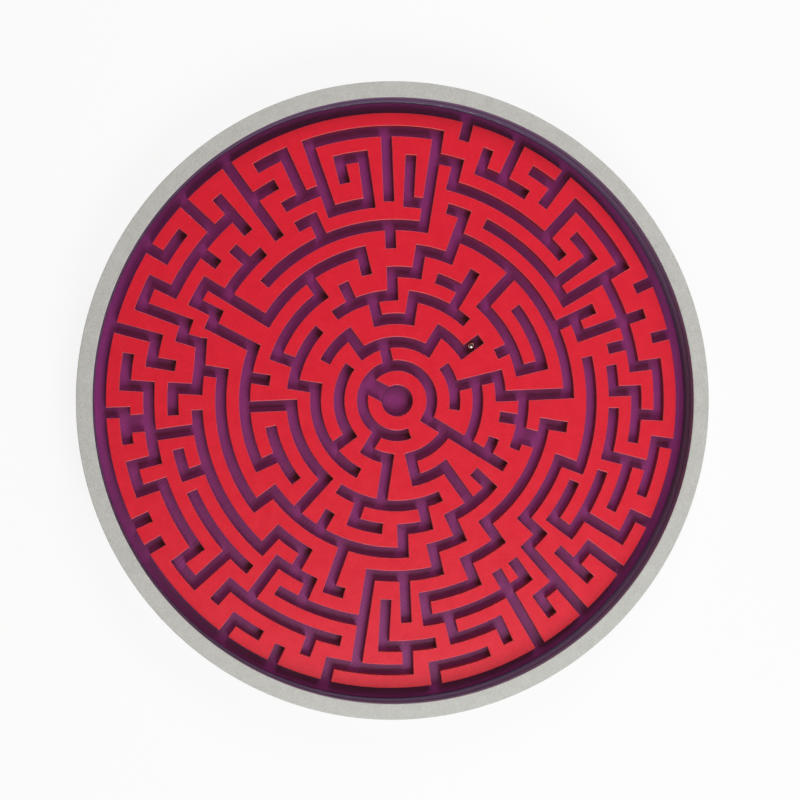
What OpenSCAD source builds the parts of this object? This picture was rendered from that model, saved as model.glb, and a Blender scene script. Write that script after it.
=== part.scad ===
// Ball-in-a-maze dexterity puzzle, in millimetres. The maze lies in X and Y, and +Z points out of its face.
// A round tray holds a plate with raised maze walls. The walls carry a thin coloured layer, a steel ball runs
// in the channels between them, and a clear disc on the walls keeps the ball in.

/* [Ball and channels] */
// Diameter of the steel ball
ball_d = 2; // [1.5:0.1:4]
// Room on each side of the ball in a channel
ball_side_room = 0.25; // [0.15:0.05:0.8]
// Gap kept under the ball
ball_floor_gap = 0.1; // [0.05:0.05:0.3]
// Room over the ball, under the clear disc
ball_head_room = 0.3; // [0.2:0.05:0.9]
// Where the ball rests in its blind channel, out from the ring channel at its mouth
ball_rest = 2.75; // [1:0.05:4]

/* [Maze plate] */
// Thickness of the walls between neighbouring channels
wall_w = 3; // [2:0.1:6]
// Thickness of the coloured layer on the walls
top_layer_t = 0.6; // [0.2:0.1:1.2]
// Thickness of the plate under the channels
plate_t = 1.8; // [1:0.1:4]
// Width of the open channel round the outside of the maze
moat_w = 2.8; // [2.4:0.1:6]
// Gap between the plate's edge and the tray
plate_gap = 0.15; // [0.05:0.05:0.5]
// Radius of the round pocket at the middle, where the ball has to go
pocket_r = 3.7; // [2.6:0.1:5]
// Width of the pocket's mouth
pocket_mouth_w = 4; // [2.5:0.1:5]
// How far the dish in the pocket's floor stays inside the pocket's wall
dish_margin = 0.5; // [0.1:0.1:1]
// Depth of the dish
dish_depth = 0.4; // [0.2:0.1:0.8]
// Width of the two wide gates
wide_gate_w = 4; // [2.6:0.1:6]

/* [Tray] */
// Thickness of the tray's bottom
tray_bottom_t = 2; // [1.2:0.1:5]
// Width of the flat rim
rim_w = 3.7; // [2.4:0.1:8]
// Height of the rim over the clear disc
rim_stand = 2.2; // [0.4:0.1:4]
// Bevel on the rim's two top edges
rim_bevel = 0.2; // [0.1:0.05:0.8]
// Bevel on the bottom edge
foot_bevel = 0.6; // [0.2:0.1:1.5]

/* [Clear disc] */
// Thickness of the clear disc
cover_t = 3; // [1.5:0.1:5]
// Gap between the disc's edge and the tray
cover_gap = 0.15; // [0.05:0.05:0.5]
// Bevel on the disc's top edge
cover_bevel = 0.3; // [0.1:0.05:0.8]

/* [Hidden] */
$fn = 96;

// The maze is drawn on rings of channel and on spokes, which count clockwise from the top.
spokes = 64;
spoke_step = 360 / spokes;

// The blind channel that the ball lies in, as [spoke, ring at its mouth, ring that it ends at]
ball_gate = [9, 2, 3];

// Ring channels, innermost ring first, each as [first spoke, last spoke]
ring_runs = [
    [[29, 85]],
    [[9.75, 16.2], [21, 29], [33, 37], [41, 53], [57, 69]],
    [[5, ball_gate[0]], [13, 21], [25, 29], [37, 49], [53, 57], [61, 65]],
    [[1, 6.4], [13, 15], [19.6, 21], [27.5, 37], [39, 47], [49, 54.5], [57.4, 63]],
    [[3, 5], [7, 13], [15, 19], [23, 27], [29, 31], [33, 35], [41, 45], [51, 57], [63, 65]],
    [[1, 3], [9, 13], [17, 25], [27, 29], [31, 41], [43, 51], [53, 61]],
    [[3, 15], [19, 23], [25, 27.25], [29, 33], [37, 39], [41, 49], [55, 65]],
    [[0, 1], [2.3, 3], [4.4, 10], [11, 12], [13.4, 19], [20, 22], [23, 24], [27.25, 30], [34.45, 35],
     [36, 38], [39, 46.7], [48, 49], [51.3, 52], [53, 55.7], [58.3, 59], [60, 62]],
    [[2, 8], [14, 15], [16, 18], [19, 22], [25, 30], [33, 37], [39, 43], [44, 45], [47, 48], [50.3, 51],
     [52, 53], [58.2, 60]],
    [[1, 2], [3, 5], [8, 9], [10, 14], [15, 17], [18, 20], [22, 23], [24, 25], [27, 29], [30, 32], [34, 39],
     [41, 44], [45, 48], [49, 50], [52, 56], [57, 58], [61, 62]],
    [[5, 6], [7, 10], [14, 16], [17, 19], [20, 21], [28, 30], [31, 34], [37, 38], [40, 41], [44, 45],
     [46, 47], [48, 49], [51, 52], [53, 54], [58, 59], [60, 65]]
];

// Gates along the spokes, each as [spoke, ring that it starts at, ring that it ends at]
gates = [
    [0, 7, 9], [1, 2, 3], [1, 4, 5], [1, 6, 10], [2, 8, 9], [2, 10, 11], [3, 5, 7], [3, 9, 10],
    [4, 9, 11], [5, 1, 2], [5, 3, 5], [6, 9, 11], [7, 4, 6], [7, 8, 10], ball_gate, [9, 7, 9],
    [10, 7, 10], [11, 6, 8], [11, 10, 11], [12, 7, 10], [13, 1, 3], [13, 4, 5], [13, 8, 9], [13, 10, 11],
    [14, 9, 10], [15, 3, 6], [15, 8, 9], [16, 9, 10], [17, 3, 4], [17, 5, 6], [17, 10, 11], [18, 8, 10],
    [19, 6, 7], [20, 10, 11], [21, 0, 4], [21, 8, 10], [22, 7, 8], [22, 9, 11], [23, 3, 4], [23, 6, 7],
    [23, 8, 10], [24, 7, 11], [25, 2, 4], [25, 5, 6], [25, 7, 8], [25, 9, 10], [26, 7, 11], [27, 4, 5],
    [27, 9, 10], [27.25, 6, 7], [29, 1, 2], [29, 3, 4], [29, 5, 6], [29, 8, 9], [30, 7, 8], [30, 10, 11],
    [31, 4, 5], [31, 6, 8], [31, 9, 10], [32, 7, 9], [33, 1, 3], [33, 6, 10], [34, 10, 11], [35, 3, 4],
    [35, 5, 7], [35, 9, 10], [36, 7, 8], [36, 10, 11], [37, 0, 1], [37, 4, 5], [37, 6, 7], [38, 7, 9],
    [38, 10, 11], [39, 3, 5], [39, 6, 7], [39, 9, 10], [40, 8, 10], [41, 1, 2], [41, 5, 6], [41, 9, 10],
    [42, 10, 11], [43, 4, 5], [43, 10, 11], [44, 7, 8], [44, 9, 10], [45, 9, 10], [46, 7, 9], [47, 3, 5],
    [47, 10, 11], [48, 7, 8], [48, 9, 10], [49, 2, 3], [49, 4, 5], [49, 6, 7], [49, 8, 9], [50, 9, 11],
    [50.3, 7, 8], [51, 3, 4], [51, 8, 10], [52, 7, 8], [52, 9, 10], [53, 5, 8], [53, 10, 11],
    [54, 8, 9], [55, 7, 8], [55, 9, 11], [56, 8, 10], [57, 1, 2], [57, 4, 5], [57, 7, 11], [59, 3, 4],
    [59, 6, 7], [59, 8, 10], [60, 7, 10], [61, 0, 1], [61, 2, 3], [61, 4, 5], [61, 8, 9], [62, 7, 9],
    [63, 3, 4], [63, 5, 6], [63, 7, 10]
];

// Gates that are wider than a channel
wide_gates = [[18.2, 4, 5], [46.55, 9, 10]];

// Straight channels that cross the grid at a slant, each as two [ring, spoke] ends
slant_runs = [[[5, 51], [7, 51.3]], [[7, 49.1], [7.18, 50.44]]];

// Where the mouth of the middle pocket points, in degrees clockwise from the top
mouth_angle = 297.5;

// A short blind stub, as [spoke, ring that it leaves, ring that it stops short of]
short_stub = [11, 4, 3];

// Each loop follows channels round one island of wall, as [ring, spoke] turning points.
left_loop = [
    [11, 55], [9, 55], [9, 52], [10, 52], [10, 51], [8, 51], [8, 50.3], [7.18, 50.3], [7, 49], [6, 49],
    [6, 41], [5, 41], [5, 31], [4, 31], [4, 29], [3, 29], [3, 33], [1, 33], [1, 37], [0, 37], [0, 85],
    [1, 85], [1, 93], [2, 93], [2, 89], [4, 89], [4, 91], [5, 91], [5, 93], [6, 93], [6, 97], [8, 97],
    [8, 100], [7, 100], [7, 101], [6, 101], [6, 103], [7, 103], [7, 110], [9, 110], [9, 110.55],
    [10, 110.55], [10, 111], [11, 111], [11, 119]
];
lower_left_loop = [
    [11, 34], [10, 34], [10, 33], [8, 33], [8, 36], [7, 36], [7, 37], [6, 37], [6, 39], [7, 39], [7, 46],
    [9, 46], [9, 46.55], [10, 46.55], [10, 47], [11, 47], [11, 34]
];
lower_right_loop = [
    [11, 34], [10, 34], [10, 33], [6, 33], [6, 29], [5, 29], [5, 27], [4, 27], [4, 25], [2, 25], [2, 29],
    [1, 29], [1, 21], [2, 21], [2, 13], [3, 13], [3, 15], [4, 15], [4, 18.2], [5, 18.2], [5, 25], [6, 25],
    [6, 27.25], [7, 27.25], [7, 30], [8, 30], [8, 26], [11, 26], [11, 34]
];

// The moat is the ring outside the listed ones.
moat_ring = len(ring_runs);
channel_w = ball_d + 2 * ball_side_room;
ring_pitch = channel_w + wall_w;
// How far a cut stays inside the side of the cut that it runs into
cut_overlap = 0.05;

wall_h = ball_floor_gap + ball_d + ball_head_room;
maze_r = ring_r(moat_ring) - channel_w / 2;
tray_inner_r = maze_r + moat_w;
tray_r = tray_inner_r + rim_w;
plate_r = tray_inner_r - plate_gap;
cover_r = tray_inner_r - cover_gap;

floor_z = tray_bottom_t + plate_t;
wall_top_z = floor_z + wall_h;
cover_top_z = wall_top_z + cover_t;
tray_h = cover_top_z + rim_stand;

function ring_r(ring) = (ring + 1.5) * ring_pitch;
function spoke_angle(spoke) = (spoke + 0.5) * spoke_step;
function polar(r, angle) = [r * sin(angle), r * cos(angle)];
function at(ring, spoke) = polar(ring_r(ring), spoke_angle(spoke));

// True where a ring channel passes or ends at a spoke, and a gate there opens into it
function ring_meets(ring, spoke) =
    ring == moat_ring || len([for (run = ring_runs[ring]) for (turn = [0, spokes])
        if (spoke + turn >= run[0] - 0.5 && spoke + turn <= run[1] + 0.5) 1]) > 0;

// How far a gate goes past a ring's centre line: over the ring channel, or not at all at a blind end
function gate_reach(ring, spoke) = ring_meets(ring, spoke) ? channel_w / 2 - cut_overlap : 0;

// The points of a loop, with a point at least every second spoke where it follows a ring
function loop_points(loop) = [
    for (i = [0 : len(loop) - 2])
        let (a = loop[i], b = loop[i + 1], steps = max(1, ceil(abs(b[1] - a[1]) / 2)))
            for (s = [0 : steps - 1]) at(a[0] + (b[0] - a[0]) * s / steps, a[1] + (b[1] - a[1]) * s / steps)
];

module wedge(from, to, r) {
    steps = ceil((to - from) / 45);
    polygon([[0, 0], for (i = [0 : steps]) polar(r, from + (to - from) * i / steps)]);
}

module ring_run(ring, from, to) {
    mid_r = ring_r(ring);
    reach = asin((channel_w / 2 - cut_overlap) / (mid_r + channel_w / 2));
    intersection() {
        difference() {
            circle(r = mid_r + channel_w / 2);
            circle(r = mid_r - channel_w / 2);
        }
        wedge(spoke_angle(from) - reach, spoke_angle(to) + reach, 1.5 * (mid_r + channel_w / 2));
    }
}

module spoke_cut(spoke, from_r, to_r, width) {
    rotate(-spoke_angle(spoke))
        translate([-width / 2, from_r])
            square([width, to_r - from_r]);
}

module gate(spoke, from, to, width) {
    spoke_cut(spoke, ring_r(from) - gate_reach(from, spoke), ring_r(to) + gate_reach(to, spoke), width);
}

module slant_run(start, end) {
    way = end - start;
    translate(start)
        rotate(atan2(way[1], way[0]))
            translate([-channel_w / 4, -channel_w / 2])
                square([norm(way) + channel_w / 2, channel_w]);
}

module channels() {
    for (ring = [0 : len(ring_runs) - 1])
        for (run = ring_runs[ring])
            ring_run(ring, run[0], run[1]);
    for (cut = gates)
        gate(cut[0], cut[1], cut[2], channel_w);
    for (cut = wide_gates)
        gate(cut[0], cut[1], cut[2], wide_gate_w);
    for (run = slant_runs)
        slant_run(at(run[0][0], run[0][1]), at(run[1][0], run[1][1]));
    spoke_cut(short_stub[0], ring_r(short_stub[2]) + channel_w / 2, ring_r(short_stub[1]), channel_w);
    circle(r = pocket_r);
    rotate(-mouth_angle)
        translate([-pocket_mouth_w / 2, 0])
            square([pocket_mouth_w, ring_r(0)]);
}

// The walls as seen from above: a disc with every channel cut out of it
module wall_plan() {
    difference() {
        circle(r = maze_r);
        channels();
    }
}

// The coloured layer on the part of the walls that lies inside one or more loops
module wall_top(loops) {
    translate([0, 0, wall_top_z - top_layer_t])
        linear_extrude(top_layer_t)
            intersection() {
                wall_plan();
                for (loop = loops)
                    polygon(loop_points(loop));
            }
}

module tray() {
    color([0.62, 0.62, 0.6])
        rotate_extrude()
            polygon([
                [0, 0], [tray_r - foot_bevel, 0], [tray_r, foot_bevel],
                [tray_r, tray_h - rim_bevel], [tray_r - rim_bevel, tray_h],
                [tray_inner_r + rim_bevel, tray_h], [tray_inner_r, tray_h - rim_bevel],
                [tray_inner_r, tray_bottom_t], [0, tray_bottom_t]
            ]);
}

module maze_plate() {
    color([0.36, 0.16, 0.4])
        difference() {
            union() {
                translate([0, 0, tray_bottom_t])
                    cylinder(r = plate_r, h = plate_t);
                translate([0, 0, tray_bottom_t + plate_t / 2])
                    linear_extrude(plate_t / 2 + wall_h - top_layer_t)
                        wall_plan();
            }
            translate([0, 0, floor_z - dish_depth])
                cylinder(r = pocket_r - dish_margin, h = dish_depth + wall_h);
        }
}

module wall_top_left() {
    color([0.8, 0.1, 0.15])
        wall_top([left_loop]);
}

module wall_top_lower_left() {
    color([0.8, 0.1, 0.15])
        wall_top([lower_left_loop]);
}

module wall_top_lower_right() {
    color([0.8, 0.1, 0.15])
        wall_top([lower_right_loop]);
}

module wall_top_upper() {
    color([0.8, 0.1, 0.15])
        translate([0, 0, wall_top_z - top_layer_t])
            linear_extrude(top_layer_t)
                difference() {
                    wall_plan();
                    for (loop = [left_loop, lower_left_loop, lower_right_loop])
                        polygon(loop_points(loop));
                }
}

module clear_cover() {
    color([0.85, 0.9, 0.95, 0.3])
        translate([0, 0, wall_top_z])
            rotate_extrude()
                polygon([
                    [0, 0], [cover_r, 0], [cover_r, cover_t - cover_bevel],
                    [cover_r - cover_bevel, cover_t], [0, cover_t]
                ]);
}

module ball() {
    color([0.75, 0.76, 0.78])
        translate(concat(polar(ring_r(ball_gate[1]) + ball_rest, spoke_angle(ball_gate[0])),
                         [floor_z + ball_floor_gap + ball_d / 2]))
            sphere(d = ball_d);
}

tray();
maze_plate();
wall_top_upper();
wall_top_left();
wall_top_lower_left();
wall_top_lower_right();
clear_cover();
ball();
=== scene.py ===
"""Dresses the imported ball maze: printed plastics, a steel ball and a clear disc, on a white table."""

import math

import bmesh
import bpy
from mathutils import Matrix, Quaternion, Vector


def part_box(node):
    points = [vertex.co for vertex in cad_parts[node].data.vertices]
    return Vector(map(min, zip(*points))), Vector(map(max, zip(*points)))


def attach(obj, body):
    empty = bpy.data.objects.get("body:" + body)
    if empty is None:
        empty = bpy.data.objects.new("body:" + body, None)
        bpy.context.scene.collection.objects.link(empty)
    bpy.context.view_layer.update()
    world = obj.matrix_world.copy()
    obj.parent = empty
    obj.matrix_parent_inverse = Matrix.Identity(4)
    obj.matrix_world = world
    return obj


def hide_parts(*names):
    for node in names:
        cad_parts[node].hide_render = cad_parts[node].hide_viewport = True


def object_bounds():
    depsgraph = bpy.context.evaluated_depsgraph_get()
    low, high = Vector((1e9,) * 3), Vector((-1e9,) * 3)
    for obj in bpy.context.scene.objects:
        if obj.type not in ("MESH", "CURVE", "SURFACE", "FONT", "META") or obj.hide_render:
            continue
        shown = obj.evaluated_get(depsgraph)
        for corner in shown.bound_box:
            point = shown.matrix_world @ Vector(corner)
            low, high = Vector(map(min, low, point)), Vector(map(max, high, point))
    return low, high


bl_info = {
    "name": "Ball maze",
    "version": (1, 0, 0),
    "blender": (4, 5, 0),
    "location": "View3D > Sidebar > Ball maze",
    "description": "Builds the printed ball maze on its packed frame and sets it on a white table",
    "category": "Object",
}

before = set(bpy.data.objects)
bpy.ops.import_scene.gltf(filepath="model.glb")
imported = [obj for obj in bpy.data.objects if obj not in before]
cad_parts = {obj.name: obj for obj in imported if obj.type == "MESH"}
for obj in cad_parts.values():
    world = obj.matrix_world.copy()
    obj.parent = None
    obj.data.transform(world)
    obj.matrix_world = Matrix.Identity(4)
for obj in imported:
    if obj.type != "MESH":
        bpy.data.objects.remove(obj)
CAD_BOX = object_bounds()
MM = 0.001
WALL_TOPS = ("wall_top_upper", "wall_top_left", "wall_top_lower_left", "wall_top_lower_right")
WHITE = (1, 1, 1, 1)

# Points closer than this are in one place, and turned points closer than the second value are merged.
NEAR = 0.01 * MM
MERGE = 0.001 * MM
# The cuts leave steps of about 0.1 mm in the wall tops' corners, which are closed.
CORNER_STEP = 0.12 * MM
# A face of the tray this near its bore is the inner wall, if the height of its normal is under the second.
BORE_DEPTH = 0.05 * MM
UPRIGHT = 0.1
# Between two faces: under the first angle they are one flat, over the second they shade apart, and over
# the third a wall top's edge is rounded.
FLAT_ANGLE = math.radians(0.5)
SHARP_ANGLE = math.radians(35)
RIM_ANGLE = math.radians(45)
TURN_STEPS = 240
# The clear disc is drawn a hair over the wall tops, because two faces in one plane would hide each other.
HAIR = 0.02 * MM

# One band of a wave texture is this long at scale 1.
WAVE_LENGTH = math.pi / 10
# Lines are drawn twice and layers three times as coarse as printed, so that they show in the render.
LINE_COARSE = 2
LAYER_COARSE = 3
MOTTLE_SIZE = 3 * MM
PORE_SIZE = 0.4 * MM
RELIEF_DEPTH = 0.05 * MM
BLOOM_SIZE = 0.5 * MM
HAZE_SIZE = 12 * MM

# The stage, in metres
TABLE_HALF_SIZE = 3.0
PANEL_DISTANCE = 0.5
PANEL_LIFT = math.radians(48)
PANEL_SIZE = 0.25
PANEL_COLOUR = "#F2F8FB"
DIM_COLOUR = "#FFC6A6"
DIM_STRENGTH = 0.16
# How much of its own white the table shows. The rest is lit, so that it keeps the shadow.
TABLE_WHITE = 0.88

# The camera was fitted to the maze plan. Its place is over the wall tops' level, and its aim is on it.
LENS_MM = 78.34
SENSOR_MM = 36.0
CAMERA_PLACE = (-55.24 * MM, 1.86 * MM, 404.75 * MM)
CAMERA_AIM = (0.64 * MM, 0.16 * MM)
CAMERA_ROLL = math.radians(0.423)


def linear(code):
    """An sRGB hex colour as linear red, green and blue."""
    parts = [int(code[i:i + 2], 16) / 255 for i in (1, 3, 5)]
    return tuple(p / 12.92 if p <= 0.04045 else ((p + 0.055) / 1.055) ** 2.4 for p in parts)


class MazeSizes(bpy.types.PropertyGroup):
    """Small sizes of the finish, and the two of the solids that it follows, the fit gap and the dish."""

    rim_round: bpy.props.FloatProperty(
        name="Rim rounding", description="Radius on the rim's top edges",
        default=0.18 * MM, unit="LENGTH")
    foot_round: bpy.props.FloatProperty(
        name="Foot rounding", description="Radius on the bottom edge",
        default=0.6 * MM, unit="LENGTH")
    wall_round: bpy.props.FloatProperty(
        name="Wall rounding", description="Radius on the wall tops' edges",
        default=0.15 * MM, unit="LENGTH")
    disc_round: bpy.props.FloatProperty(
        name="Disc rounding", description="Radius on the clear disc's edges",
        default=0.3 * MM, unit="LENGTH")
    fit_gap: bpy.props.FloatProperty(
        name="Fit gap", description="Gap between the plate's edge and the tray",
        default=0.15 * MM, unit="LENGTH")
    layer: bpy.props.FloatProperty(
        name="Layer height", description="Height of one printed layer",
        default=0.2 * MM, unit="LENGTH")
    line: bpy.props.FloatProperty(
        name="Line width", description="Width of one printed line",
        default=0.45 * MM, unit="LENGTH")
    dish_radius: bpy.props.FloatProperty(
        name="Dish radius", description="Radius of the dish in the middle pocket",
        default=3.2 * MM, unit="LENGTH")
    # The dish's dark ring is a printed seam with painted shade in it.
    seam: bpy.props.FloatProperty(
        name="Seam width", description="Width of the printed seam round the dish",
        default=0.22 * MM, unit="LENGTH")


class MazeColours(bpy.types.PropertyGroup):
    """Colours of the printed plastics, the ball and the disc's edge; some sides and edges are painted
    light and shade.
    """

    grey: bpy.props.FloatVectorProperty(
        name="Grey", description="Tray plastic", subtype="COLOR", default=linear("#BEBFBA"))
    mauve: bpy.props.FloatVectorProperty(
        name="Mauve grey", description="The tray's inner wall",
        subtype="COLOR", default=linear("#7C6A8E"))
    purple: bpy.props.FloatVectorProperty(
        name="Purple", description="Plate plastic", subtype="COLOR", default=linear("#87286F"))
    # Painted light: the purple sides of the plate's walls are drawn red, for the red light from the wall
    # tops.
    red_lit_plate_side: bpy.props.FloatVectorProperty(
        name="Maroon", description="Sides of the plate's walls, tinged by the red layer on them",
        subtype="COLOR", default=linear("#A41426"))
    red: bpy.props.FloatVectorProperty(
        name="Red", description="Wall top plastic", subtype="COLOR", default=linear("#E21B34"))
    # Painted shade: the sides of the red wall tops are drawn darker than their red.
    shaded_red_side: bpy.props.FloatVectorProperty(
        name="Dark red", description="Sides of the wall tops, tinged by the purple under them",
        subtype="COLOR", default=linear("#7A0C1A"))
    # Painted highlight: the wall tops' rounded edges are drawn pale pink.
    pink: bpy.props.FloatVectorProperty(
        name="Pink", description="Rubbed edges of the wall tops",
        subtype="COLOR", default=linear("#E8707C"))
    steel: bpy.props.FloatVectorProperty(
        name="Steel", description="Ball", subtype="COLOR", default=linear("#D4D5D6"))
    # Painted shade with painted purple bounce light: the frosted disc edge is drawn dark mauve.
    edge: bpy.props.FloatVectorProperty(
        name="Disc edge", description="The clear disc's sawn edge",
        subtype="COLOR", default=linear("#7C6688"))


def add_node(tree, kind, settings=None, **inputs):
    """Adds one node. Settings are its own values, and inputs are numbers, colours or sockets to link.

    An input goes by its name, with _ for a space, or by its number, as in i0.
    """
    made = tree.nodes.new(kind)
    for name, value in (settings or {}).items():
        setattr(made, name, value)
    for key, value in inputs.items():
        words = key.replace("_", " ")
        socket = made.inputs[int(key[1:])] if key[1:].isdigit() else made.inputs[words]
        if isinstance(value, bpy.types.NodeSocket):
            tree.links.new(value, socket)
        else:
            socket.default_value = value
    return made


def new_material(name):
    """An empty material and its node tree."""
    made = bpy.data.materials.new(name)
    made.use_nodes = True
    made.node_tree.nodes.clear()
    return made, made.node_tree


def rgba(colour):
    """A colour with full alpha, as a node's socket takes it."""
    return (*colour, 1.0)


def level_share(tree, where):
    """A value that is 1 on level faces and 0 on upright ones."""
    normal = add_node(tree, "ShaderNodeSeparateXYZ", None, Vector=where.outputs["Normal"])
    share = add_node(tree, "ShaderNodeMath", {"operation": "ABSOLUTE"}, i0=normal.outputs["Z"])
    return share.outputs[0]


def seam_and_shade_ring(tree, place, paint, radius, width):
    """The paint with a thin dark ring about the middle axis: a printed seam, with painted shade in it."""
    across = add_node(tree, "ShaderNodeVectorMath", {"operation": "MULTIPLY"}, i0=place, i1=(1, 1, 0))
    away = add_node(tree, "ShaderNodeVectorMath", {"operation": "LENGTH"}, i0=across.outputs[0])
    seam = add_node(
        tree, "ShaderNodeMath", {"operation": "COMPARE"}, i0=away.outputs["Value"], i1=radius,
        i2=width / 2)
    tone = add_node(
        tree, "ShaderNodeMapRange", None, Value=seam.outputs[0], To_Min=1.0, To_Max=0.45)
    made = add_node(
        tree, "ShaderNodeVectorMath", {"operation": "SCALE"}, Vector=paint, Scale=tone.outputs[0])
    return made.outputs[0]


def printed_plastic(name, colour, side, edge, roughness, grain, bump, turn, seam_shade_radius=None):
    """Matt PLA from a printer: fine lines on level faces, layer steps on upright ones, a mottled tone.

    Level faces have the colour, upright ones the side colour, and rounded edges the edge colour. On the
    plate the side colour is painted red bounce light; on the wall tops the side colour is painted shade
    and the edge colour a painted highlight. The lines are turned by some degrees.
    """
    sizes = bpy.context.scene.maze_sizes
    made, tree = new_material(name)
    where = add_node(tree, "ShaderNodeTexCoord")
    place = where.outputs["Object"]
    level = level_share(tree, where)
    along = add_node(
        tree, "ShaderNodeMapping", None, Vector=place, Rotation=(0, 0, math.radians(turn)))
    lines = add_node(
        tree, "ShaderNodeTexWave", {"wave_type": "BANDS", "bands_direction": "X"},
        Vector=along.outputs["Vector"], Scale=WAVE_LENGTH / (LINE_COARSE * sizes.line),
        Distortion=0.6, Detail=2.0, Detail_Scale=1.5)
    layers = add_node(
        tree, "ShaderNodeTexWave", {"wave_type": "BANDS", "bands_direction": "Z"},
        Vector=place, Scale=WAVE_LENGTH / (LAYER_COARSE * sizes.layer), Distortion=0.4, Detail=2.0)
    cloud = add_node(
        tree, "ShaderNodeTexNoise", None, Vector=place, Scale=1 / MOTTLE_SIZE, Detail=3.0)
    pores = add_node(tree, "ShaderNodeTexNoise", None, Vector=place, Scale=1 / PORE_SIZE, Detail=2.0)
    # The tone varies with the pores and the mottling, and from layer to layer on upright faces.
    speckle = add_node(
        tree, "ShaderNodeMix", {"data_type": "FLOAT"}, Factor=0.7, A=cloud.outputs["Fac"],
        B=pores.outputs["Fac"])
    bands = add_node(
        tree, "ShaderNodeMix", {"data_type": "FLOAT"}, Factor=level, A=layers.outputs["Fac"], B=0.5)
    dappled = add_node(
        tree, "ShaderNodeMix", {"data_type": "FLOAT"}, Factor=0.3, A=speckle.outputs[0],
        B=bands.outputs[0])
    tone = add_node(
        tree, "ShaderNodeMapRange", None, Value=dappled.outputs[0], From_Min=0.35, From_Max=0.65,
        To_Min=1 - grain, To_Max=1 + grain)
    paint = add_node(
        tree, "ShaderNodeMix", {"data_type": "RGBA"}, Factor=level, i6=rgba(side), i7=rgba(colour))
    # Faces that slope are the rounded edges, which get the edge colour; the pale pink on the wall tops'
    # edges is a painted highlight.
    slope = add_node(tree, "ShaderNodeMath", {"operation": "PINGPONG"}, i0=level, i1=0.5)
    edge_highlight = add_node(
        tree, "ShaderNodeMapRange", None, Value=slope.outputs[0], From_Min=0.05, From_Max=0.3)
    edged = add_node(
        tree, "ShaderNodeMix", {"data_type": "RGBA"}, Factor=edge_highlight.outputs[0], i6=paint.outputs[2],
        i7=rgba(edge))
    toned = add_node(
        tree, "ShaderNodeVectorMath", {"operation": "SCALE"}, Vector=edged.outputs[2],
        Scale=tone.outputs[0])
    finish = toned.outputs[0]
    if seam_shade_radius is not None:
        finish = seam_and_shade_ring(tree, place, finish, seam_shade_radius, sizes.seam)
    rough = add_node(
        tree, "ShaderNodeMapRange", None, Value=cloud.outputs["Fac"], From_Min=0.3, From_Max=0.7,
        To_Min=roughness - 0.05, To_Max=roughness + 0.05)
    relief = add_node(
        tree, "ShaderNodeMix", {"data_type": "FLOAT"}, Factor=level, A=layers.outputs["Fac"],
        B=lines.outputs["Fac"])
    height = add_node(
        tree, "ShaderNodeMix", {"data_type": "FLOAT"}, Factor=0.3, A=relief.outputs[0],
        B=pores.outputs["Fac"])
    normal = add_node(
        tree, "ShaderNodeBump", None, Strength=bump, Distance=RELIEF_DEPTH, Height=height.outputs[0])
    shader = add_node(
        tree, "ShaderNodeBsdfPrincipled", None, Base_Color=finish, Roughness=rough.outputs[0],
        IOR=1.46, Normal=normal.outputs["Normal"])
    add_node(tree, "ShaderNodeOutputMaterial", None, Surface=shader.outputs[0])
    return made


def bearing_steel():
    """Polished bearing steel: a mirror with the faintest bloom."""
    made, tree = new_material("polished_bearing_steel")
    place = add_node(tree, "ShaderNodeTexCoord").outputs["Object"]
    bloom = add_node(tree, "ShaderNodeTexNoise", None, Vector=place, Scale=1 / BLOOM_SIZE, Detail=2.0)
    rough = add_node(
        tree, "ShaderNodeMapRange", None, Value=bloom.outputs["Fac"], From_Min=0.3, From_Max=0.7,
        To_Min=0.07, To_Max=0.14)
    shader = add_node(
        tree, "ShaderNodeBsdfPrincipled", None,
        Base_Color=rgba(bpy.context.scene.maze_colours.steel), Metallic=1.0, Roughness=rough.outputs[0])
    add_node(tree, "ShaderNodeOutputMaterial", None, Surface=shader.outputs[0])
    return made


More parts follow.
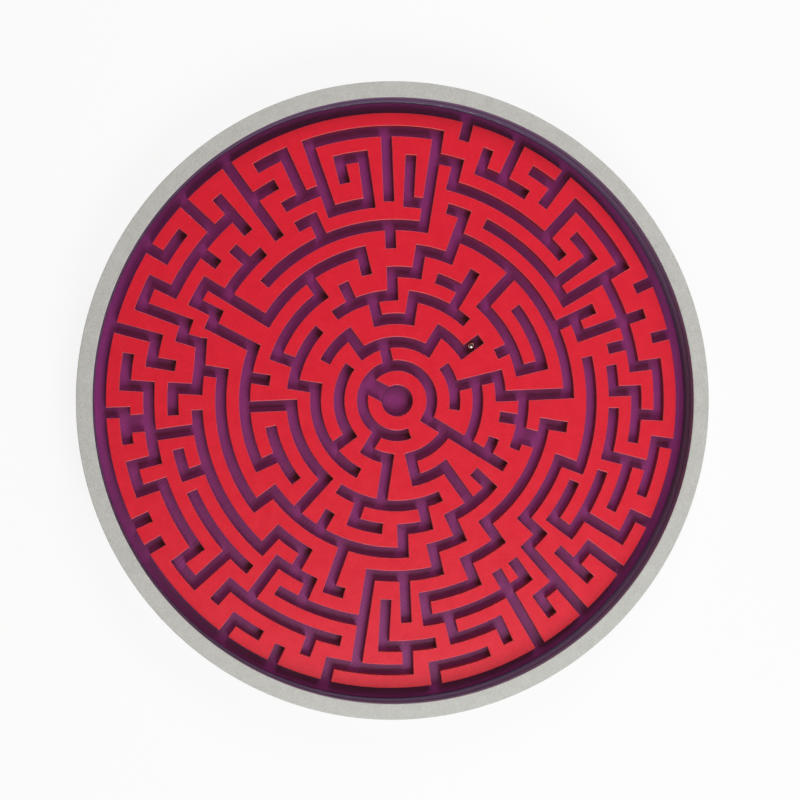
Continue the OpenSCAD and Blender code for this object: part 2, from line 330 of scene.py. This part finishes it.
def clear_acrylic():
    """Clear cast acrylic: polished faces that mirror more at a low angle, and a frosted sawn edge in
    painted shade.
    """
    made, tree = new_material("clear_cast_acrylic")
    where = add_node(tree, "ShaderNodeTexCoord")
    level = level_share(tree, where)
    # Handling leaves a haze in patches.
    haze = add_node(
        tree, "ShaderNodeTexNoise", None, Vector=where.outputs["Object"], Scale=1 / HAZE_SIZE, Detail=3.0)
    face_rough = add_node(
        tree, "ShaderNodeMapRange", None, Value=haze.outputs["Fac"], From_Min=0.4, From_Max=0.7,
        To_Min=0.02, To_Max=0.07)
    rough = add_node(
        tree, "ShaderNodeMix", {"data_type": "FLOAT"}, Factor=level, A=0.4, B=face_rough.outputs[0])
    gloss = add_node(tree, "ShaderNodeBsdfGlossy", None, Color=WHITE, Roughness=rough.outputs[0])
    clear = add_node(tree, "ShaderNodeBsdfTransparent", None, Color=(0.995, 0.995, 0.995, 1))
    # The mirrored share is the same on both faces: 2 % straight on, and all of it along the face.
    facing = add_node(tree, "ShaderNodeLayerWeight", None, Blend=0.5).outputs["Facing"]
    grazing = add_node(tree, "ShaderNodeMath", {"operation": "POWER"}, i0=facing, i1=5.0)
    share = add_node(
        tree, "ShaderNodeMapRange", None, Value=grazing.outputs[0], To_Min=0.02, To_Max=1.0)
    face = add_node(
        tree, "ShaderNodeMixShader", None, Fac=share.outputs[0], i1=clear.outputs[0],
        i2=gloss.outputs[0])
    # The sawn edge is frosted, and its dark mauve tone is painted shade with painted purple bounce light:
    # from above, a soft dark ring beside the rim.
    frost_and_shade = add_node(
        tree, "ShaderNodeBsdfDiffuse", None, Color=rgba(bpy.context.scene.maze_colours.edge),
        Roughness=0.5)
    sawn = add_node(
        tree, "ShaderNodeMapRange", None, Value=level, From_Min=0.05, From_Max=0.4, To_Min=0.8,
        To_Max=0.0)
    mixed = add_node(
        tree, "ShaderNodeMixShader", None, Fac=sawn.outputs[0], i1=face.outputs[0],
        i2=frost_and_shade.outputs[0])
    add_node(tree, "ShaderNodeOutputMaterial", None, Surface=mixed.outputs[0])
    return made


def cover_node(node, material):
    """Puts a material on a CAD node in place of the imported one."""
    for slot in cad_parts[node].material_slots:
        slot.material = material


def new_piece(name, bm, material, body, slot, *nodes):
    """Makes a piece from a bmesh, in place of the named CAD nodes."""
    mesh = bpy.data.meshes.new(name)
    bm.to_mesh(mesh)
    bm.free()
    # A copy of a solid brings its old normals along.
    if "custom_normal" in mesh.attributes:
        mesh.attributes.remove(mesh.attributes["custom_normal"])
    mesh.materials.append(material)
    piece = bpy.data.objects.new(name, mesh)
    bpy.context.scene.collection.objects.link(piece)
    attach(piece, body)
    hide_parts(*nodes)
    return piece


def turned(profile):
    """Turns a profile of radius and height points about the middle axis into a closed round shape."""
    bm = bmesh.new()
    corners = [bm.verts.new((x, 0, z)) for x, z in profile]
    edges = [bm.edges.new(pair) for pair in zip(corners, corners[1:])]
    bmesh.ops.spin(
        bm, geom=corners + edges, cent=(0, 0, 0), axis=(0, 0, 1), angle=math.tau, steps=TURN_STEPS,
        use_merge=True)
    bmesh.ops.remove_doubles(bm, verts=bm.verts, dist=MERGE)
    bmesh.ops.recalc_face_normals(bm, faces=bm.faces)
    return bm


def round_loop(bm, height, radius, width):
    """Rounds the circular edge at one height and radius."""
    loop = [
        e for e in bm.edges
        if all(abs(v.co.z - height) < NEAR and abs(v.co.xy.length - radius) < NEAR for v in e.verts)]
    bmesh.ops.bevel(
        bm, geom=loop, offset=width, affect="EDGES", segments=4, profile=0.5, material=-1)


def smooth(piece):
    """Shades a turned piece smoothly, with the large faces kept flat up to their rounded edges."""
    piece.data.shade_smooth()
    piece.data.set_sharp_from_angle(angle=SHARP_ANGLE)
    weights = piece.modifiers.new("flat_faces", "WEIGHTED_NORMAL")
    weights.weight = 100
    weights.keep_sharp = True


class MAZE_OT_tray(bpy.types.Operator):
    """Turns the grey tray from its profile and rounds its edges"""

    bl_idname = "maze.tray"
    bl_label = "Tray"

    def execute(self, context):
        sizes = context.scene.maze_sizes
        colours = context.scene.maze_colours
        low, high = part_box("tray")
        plate_low, plate_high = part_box("maze_plate")
        inner = plate_high.x + sizes.fit_gap
        bm = turned([
            (0, low.z), (high.x, low.z), (high.x, high.z), (inner, high.z), (inner, plate_low.z),
            (0, plate_low.z)])
        round_loop(bm, high.z, high.x, sizes.rim_round)
        round_loop(bm, high.z, inner, sizes.rim_round)
        round_loop(bm, low.z, high.x, sizes.foot_round)
        # The inner wall gets a darker mauve grey than the rim.
        for face in bm.faces:
            wall = face.calc_center_median().xy.length < inner + BORE_DEPTH
            face.material_index = int(wall and abs(face.normal.z) < UPRIGHT)
        plastic = printed_plastic(
            "grey_printed_pla", colours.grey, colours.grey, colours.grey,
            roughness=0.55, grain=0.13, bump=0.35, turn=35)
        wall_plastic = printed_plastic(
            "mauve_grey_printed_pla", colours.mauve, colours.mauve, colours.mauve,
            roughness=0.55, grain=0.06, bump=0.25, turn=35)
        piece = new_piece("tray_finished", bm, plastic, "maze", "grey_plastic", "tray")
        piece.data.materials.append(wall_plastic)
        smooth(piece)
        return {"FINISHED"}


class MAZE_OT_plate(bpy.types.Operator):
    """Gives the maze plate its purple printed plastic"""

    bl_idname = "maze.plate"
    bl_label = "Maze plate"

    def execute(self, context):
        colours = context.scene.maze_colours
        # The wall sides get painted red light, and the dish's edge a seam with painted shade.
        plastic = printed_plastic(
            "purple_printed_pla", colours.purple, colours.red_lit_plate_side, colours.purple,
            roughness=0.42, grain=0.12, bump=0.3, turn=45,
            seam_shade_radius=context.scene.maze_sizes.dish_radius)
        cover_node("maze_plate", plastic)
        return {"FINISHED"}


class MAZE_OT_wall_tops(bpy.types.Operator):
    """Rounds the top edges of the red wall tops, one piece for each island of wall"""

    bl_idname = "maze.wall_tops"
    bl_label = "Wall tops"

    def execute(self, context):
        sizes = context.scene.maze_sizes
        colours = context.scene.maze_colours
        # The sides get painted shade, and the rounded edges a pale pink painted highlight.
        plastic = printed_plastic(
            "red_printed_pla", colours.red, colours.shaded_red_side, colours.pink,
            roughness=0.38, grain=0.09, bump=0.2, turn=-45)
        for node in WALL_TOPS:
            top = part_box(node)[1].z
            bm = bmesh.new()
            bm.from_mesh(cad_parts[node].data)
            bmesh.ops.remove_doubles(bm, verts=bm.verts, dist=CORNER_STEP)
            bmesh.ops.dissolve_limit(
                bm, angle_limit=FLAT_ANGLE, verts=bm.verts, edges=bm.edges, delimit=set())
            rim = [
                e for e in bm.edges
                if len(e.link_faces) == 2 and all(abs(v.co.z - top) < NEAR for v in e.verts)
                and e.calc_face_angle() > RIM_ANGLE]
            bmesh.ops.bevel(
                bm, geom=rim, offset=sizes.wall_round, affect="EDGES", segments=2, profile=0.5,
                material=-1)
            for face in bm.faces:
                face.smooth = False
            new_piece(node + "_finished", bm, plastic, "maze", "red_plastic", node)
        return {"FINISHED"}


class MAZE_OT_ball(bpy.types.Operator):
    """Makes the polished steel ball"""

    bl_idname = "maze.ball"
    bl_label = "Ball"

    def execute(self, context):
        low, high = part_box("ball")
        middle = (low + high) / 2
        bm = bmesh.new()
        bmesh.ops.create_uvsphere(bm, u_segments=64, v_segments=32, radius=(high.z - low.z) / 2)
        bmesh.ops.translate(bm, verts=bm.verts, vec=middle)
        piece = new_piece("ball_finished", bm, bearing_steel(), "rolling_ball", "ball_steel", "ball")
        piece.data.shade_smooth()
        return {"FINISHED"}


class MAZE_OT_cover(bpy.types.Operator):
    """Turns the clear disc from its profile and rounds its edges"""

    bl_idname = "maze.cover"
    bl_label = "Clear disc"

    def execute(self, context):
        sizes = context.scene.maze_sizes
        low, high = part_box("clear_cover")
        low.z += HAIR
        bm = turned([(0, low.z), (high.x, low.z), (high.x, high.z), (0, high.z)])
        for height in (low.z, high.z):
            round_loop(bm, height, high.x, sizes.disc_round)
        piece = new_piece(
            "clear_cover_finished", bm, clear_acrylic(), "maze", "clear_acrylic", "clear_cover")
        smooth(piece)
        return {"FINISHED"}


def background_rays(tree):
    """Two values: 1 for what the camera sees straight, and 1 for what metal or glass shows of it."""
    rays = add_node(tree, "ShaderNodeLightPath").outputs
    mirrored = add_node(
        tree, "ShaderNodeMath", {"operation": "MAXIMUM"}, i0=rays["Is Glossy Ray"],
        i1=rays["Is Transmission Ray"])
    return rays["Is Camera Ray"], mirrored.outputs[0]


class MAZE_OT_stage(bpy.types.Operator):
    """Sets the table, the soft lights and the camera"""

    bl_idname = "maze.stage"
    bl_label = "Stage"

    def execute(self, context):
        scene = context.scene
        scene.view_settings.view_transform = "Standard"
        self.table(scene)
        self.sky(scene)
        # Panels on three sides, so that nothing bright stands where the clear disc would mirror it to the
        # camera. The ball mirrors only the near one, as one small highlight.
        self.panel(scene, "panel_near", bearing=168, power=1.75, mirrored=True)
        self.panel(scene, "panel_right", bearing=90, power=0.27, mirrored=False)
        self.panel(scene, "panel_far", bearing=12, power=1.2, mirrored=False)
        self.camera(scene)
        return {"FINISHED"}

    def table(self, scene):
        """A white table under the tray, which shows the camera mostly its own white."""
        bm = bmesh.new()
        bmesh.ops.create_grid(bm, x_segments=1, y_segments=1, size=TABLE_HALF_SIZE)
        bmesh.ops.translate(bm, verts=bm.verts, vec=(0, 0, CAD_BOX[0].z))
        mesh = bpy.data.meshes.new("table")
        bm.to_mesh(mesh)
        bm.free()
        made, tree = new_material("white_table")
        camera_ray, mirrored = background_rays(tree)
        seen = add_node(tree, "ShaderNodeMath", {"operation": "MAXIMUM"}, i0=camera_ray, i1=mirrored)
        share = add_node(
            tree, "ShaderNodeMath", {"operation": "MULTIPLY"}, i0=seen.outputs[0], i1=TABLE_WHITE)
        matt = add_node(tree, "ShaderNodeBsdfDiffuse", None, Color=(0.8, 0.8, 0.8, 1))
        white = add_node(tree, "ShaderNodeEmission", None, Color=WHITE, Strength=1.0)
        mixed = add_node(
            tree, "ShaderNodeMixShader", None, Fac=share.outputs[0], i1=matt.outputs[0],
            i2=white.outputs[0])
        add_node(tree, "ShaderNodeOutputMaterial", None, Surface=mixed.outputs[0])
        mesh.materials.append(made)
        table = bpy.data.objects.new("table", mesh)
        scene.collection.objects.link(table)

    def sky(self, scene):
        """A white backdrop for the camera, and dim warm light all round for the object."""
        world = bpy.data.worlds.new("studio")
        scene.world = world
        world.use_nodes = True
        tree = world.node_tree
        tree.nodes.clear()
        camera_ray, mirrored = background_rays(tree)
        # Metal and the clear disc mirror the backdrop up to about 20 degrees, and the dim light over it.
        way = add_node(tree, "ShaderNodeTexCoord").outputs["Generated"]
        rise = add_node(tree, "ShaderNodeSeparateXYZ", None, Vector=way).outputs["Z"]
        backdrop = add_node(
            tree, "ShaderNodeMapRange", None, Value=rise, From_Min=0.25, From_Max=0.4, To_Min=1.0,
            To_Max=0.0)
        low_mirrored = add_node(
            tree, "ShaderNodeMath", {"operation": "MULTIPLY"}, i0=mirrored, i1=backdrop.outputs[0])
        seen = add_node(
            tree, "ShaderNodeMath", {"operation": "MAXIMUM"}, i0=camera_ray, i1=low_mirrored.outputs[0])
        dim = add_node(
            tree, "ShaderNodeBackground", None, Color=rgba(linear(DIM_COLOUR)),
            Strength=DIM_STRENGTH)
        white = add_node(tree, "ShaderNodeBackground", None, Color=WHITE, Strength=1.0)
        mixed = add_node(
            tree, "ShaderNodeMixShader", None, Fac=seen.outputs[0], i1=dim.outputs[0],
            i2=white.outputs[0])
        add_node(tree, "ShaderNodeOutputWorld", None, Surface=mixed.outputs[0])

    def panel(self, scene, name, bearing, power, mirrored):
        """A soft panel that faces the maze, at a bearing in degrees clockwise from the far side."""
        turn = math.radians(bearing)
        reach = math.cos(PANEL_LIFT)
        place = PANEL_DISTANCE * Vector(
            (reach * math.sin(turn), reach * math.cos(turn), math.sin(PANEL_LIFT)))
        lamp = bpy.data.lights.new(name, "AREA")
        lamp.shape = "RECTANGLE"
        lamp.size = PANEL_SIZE
        lamp.size_y = PANEL_SIZE
        lamp.energy = power
        lamp.color = linear(PANEL_COLOUR)
        made = bpy.data.objects.new(name, lamp)
        made.location = place
        made.rotation_mode = "QUATERNION"
        made.rotation_quaternion = (-place).to_track_quat("-Z", "Y")
        made.visible_camera = False
        made.visible_glossy = mirrored
        scene.collection.objects.link(made)

    def camera(self, scene):
        """The camera, nearly straight over the maze, with the maze's +Y at the top of the picture."""
        lens = bpy.data.cameras.new("photo_camera")
        lens.sensor_width = SENSOR_MM
        lens.lens = LENS_MM
        lens.clip_start = 0.01
        lens.clip_end = 20.0
        made = bpy.data.objects.new("photo_camera", lens)
        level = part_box("clear_cover")[0].z
        across, up, over = CAMERA_PLACE
        made.location = Vector((across, up, level + over))
        aim = Vector((*CAMERA_AIM, level)) - made.location
        back = -aim.normalized()
        right = Vector((0, 1, 0)).cross(back).normalized()
        looking = Matrix((right, back.cross(right), back)).transposed().to_quaternion()
        made.rotation_mode = "QUATERNION"
        made.rotation_quaternion = looking @ Quaternion((0, 0, 1), CAMERA_ROLL)
        scene.collection.objects.link(made)
        scene.camera = made


class MAZE_PT_panel(bpy.types.Panel):
    """Lists the steps that build the ball maze"""

    bl_label = "Ball maze"
    bl_idname = "MAZE_PT_panel"
    bl_space_type = "VIEW_3D"
    bl_region_type = "UI"
    bl_category = "Ball maze"

    def draw(self, context):
        for step in STEPS:
            self.layout.operator(step.bl_idname)


STEPS = (MAZE_OT_tray, MAZE_OT_plate, MAZE_OT_wall_tops, MAZE_OT_ball, MAZE_OT_cover, MAZE_OT_stage)
CLASSES = (MazeSizes, MazeColours, *STEPS, MAZE_PT_panel)


def register():
    for made in CLASSES:
        bpy.utils.register_class(made)
    bpy.types.Scene.maze_sizes = bpy.props.PointerProperty(type=MazeSizes)
    bpy.types.Scene.maze_colours = bpy.props.PointerProperty(type=MazeColours)


def unregister():
    del bpy.types.Scene.maze_colours
    del bpy.types.Scene.maze_sizes
    for made in reversed(CLASSES):
        bpy.utils.unregister_class(made)


def main():
    register()
    bpy.ops.maze.tray()
    bpy.ops.maze.plate()
    bpy.ops.maze.wall_tops()
    bpy.ops.maze.ball()
    bpy.ops.maze.cover()
    bpy.ops.maze.stage()


if __name__ == "__main__":
    main()
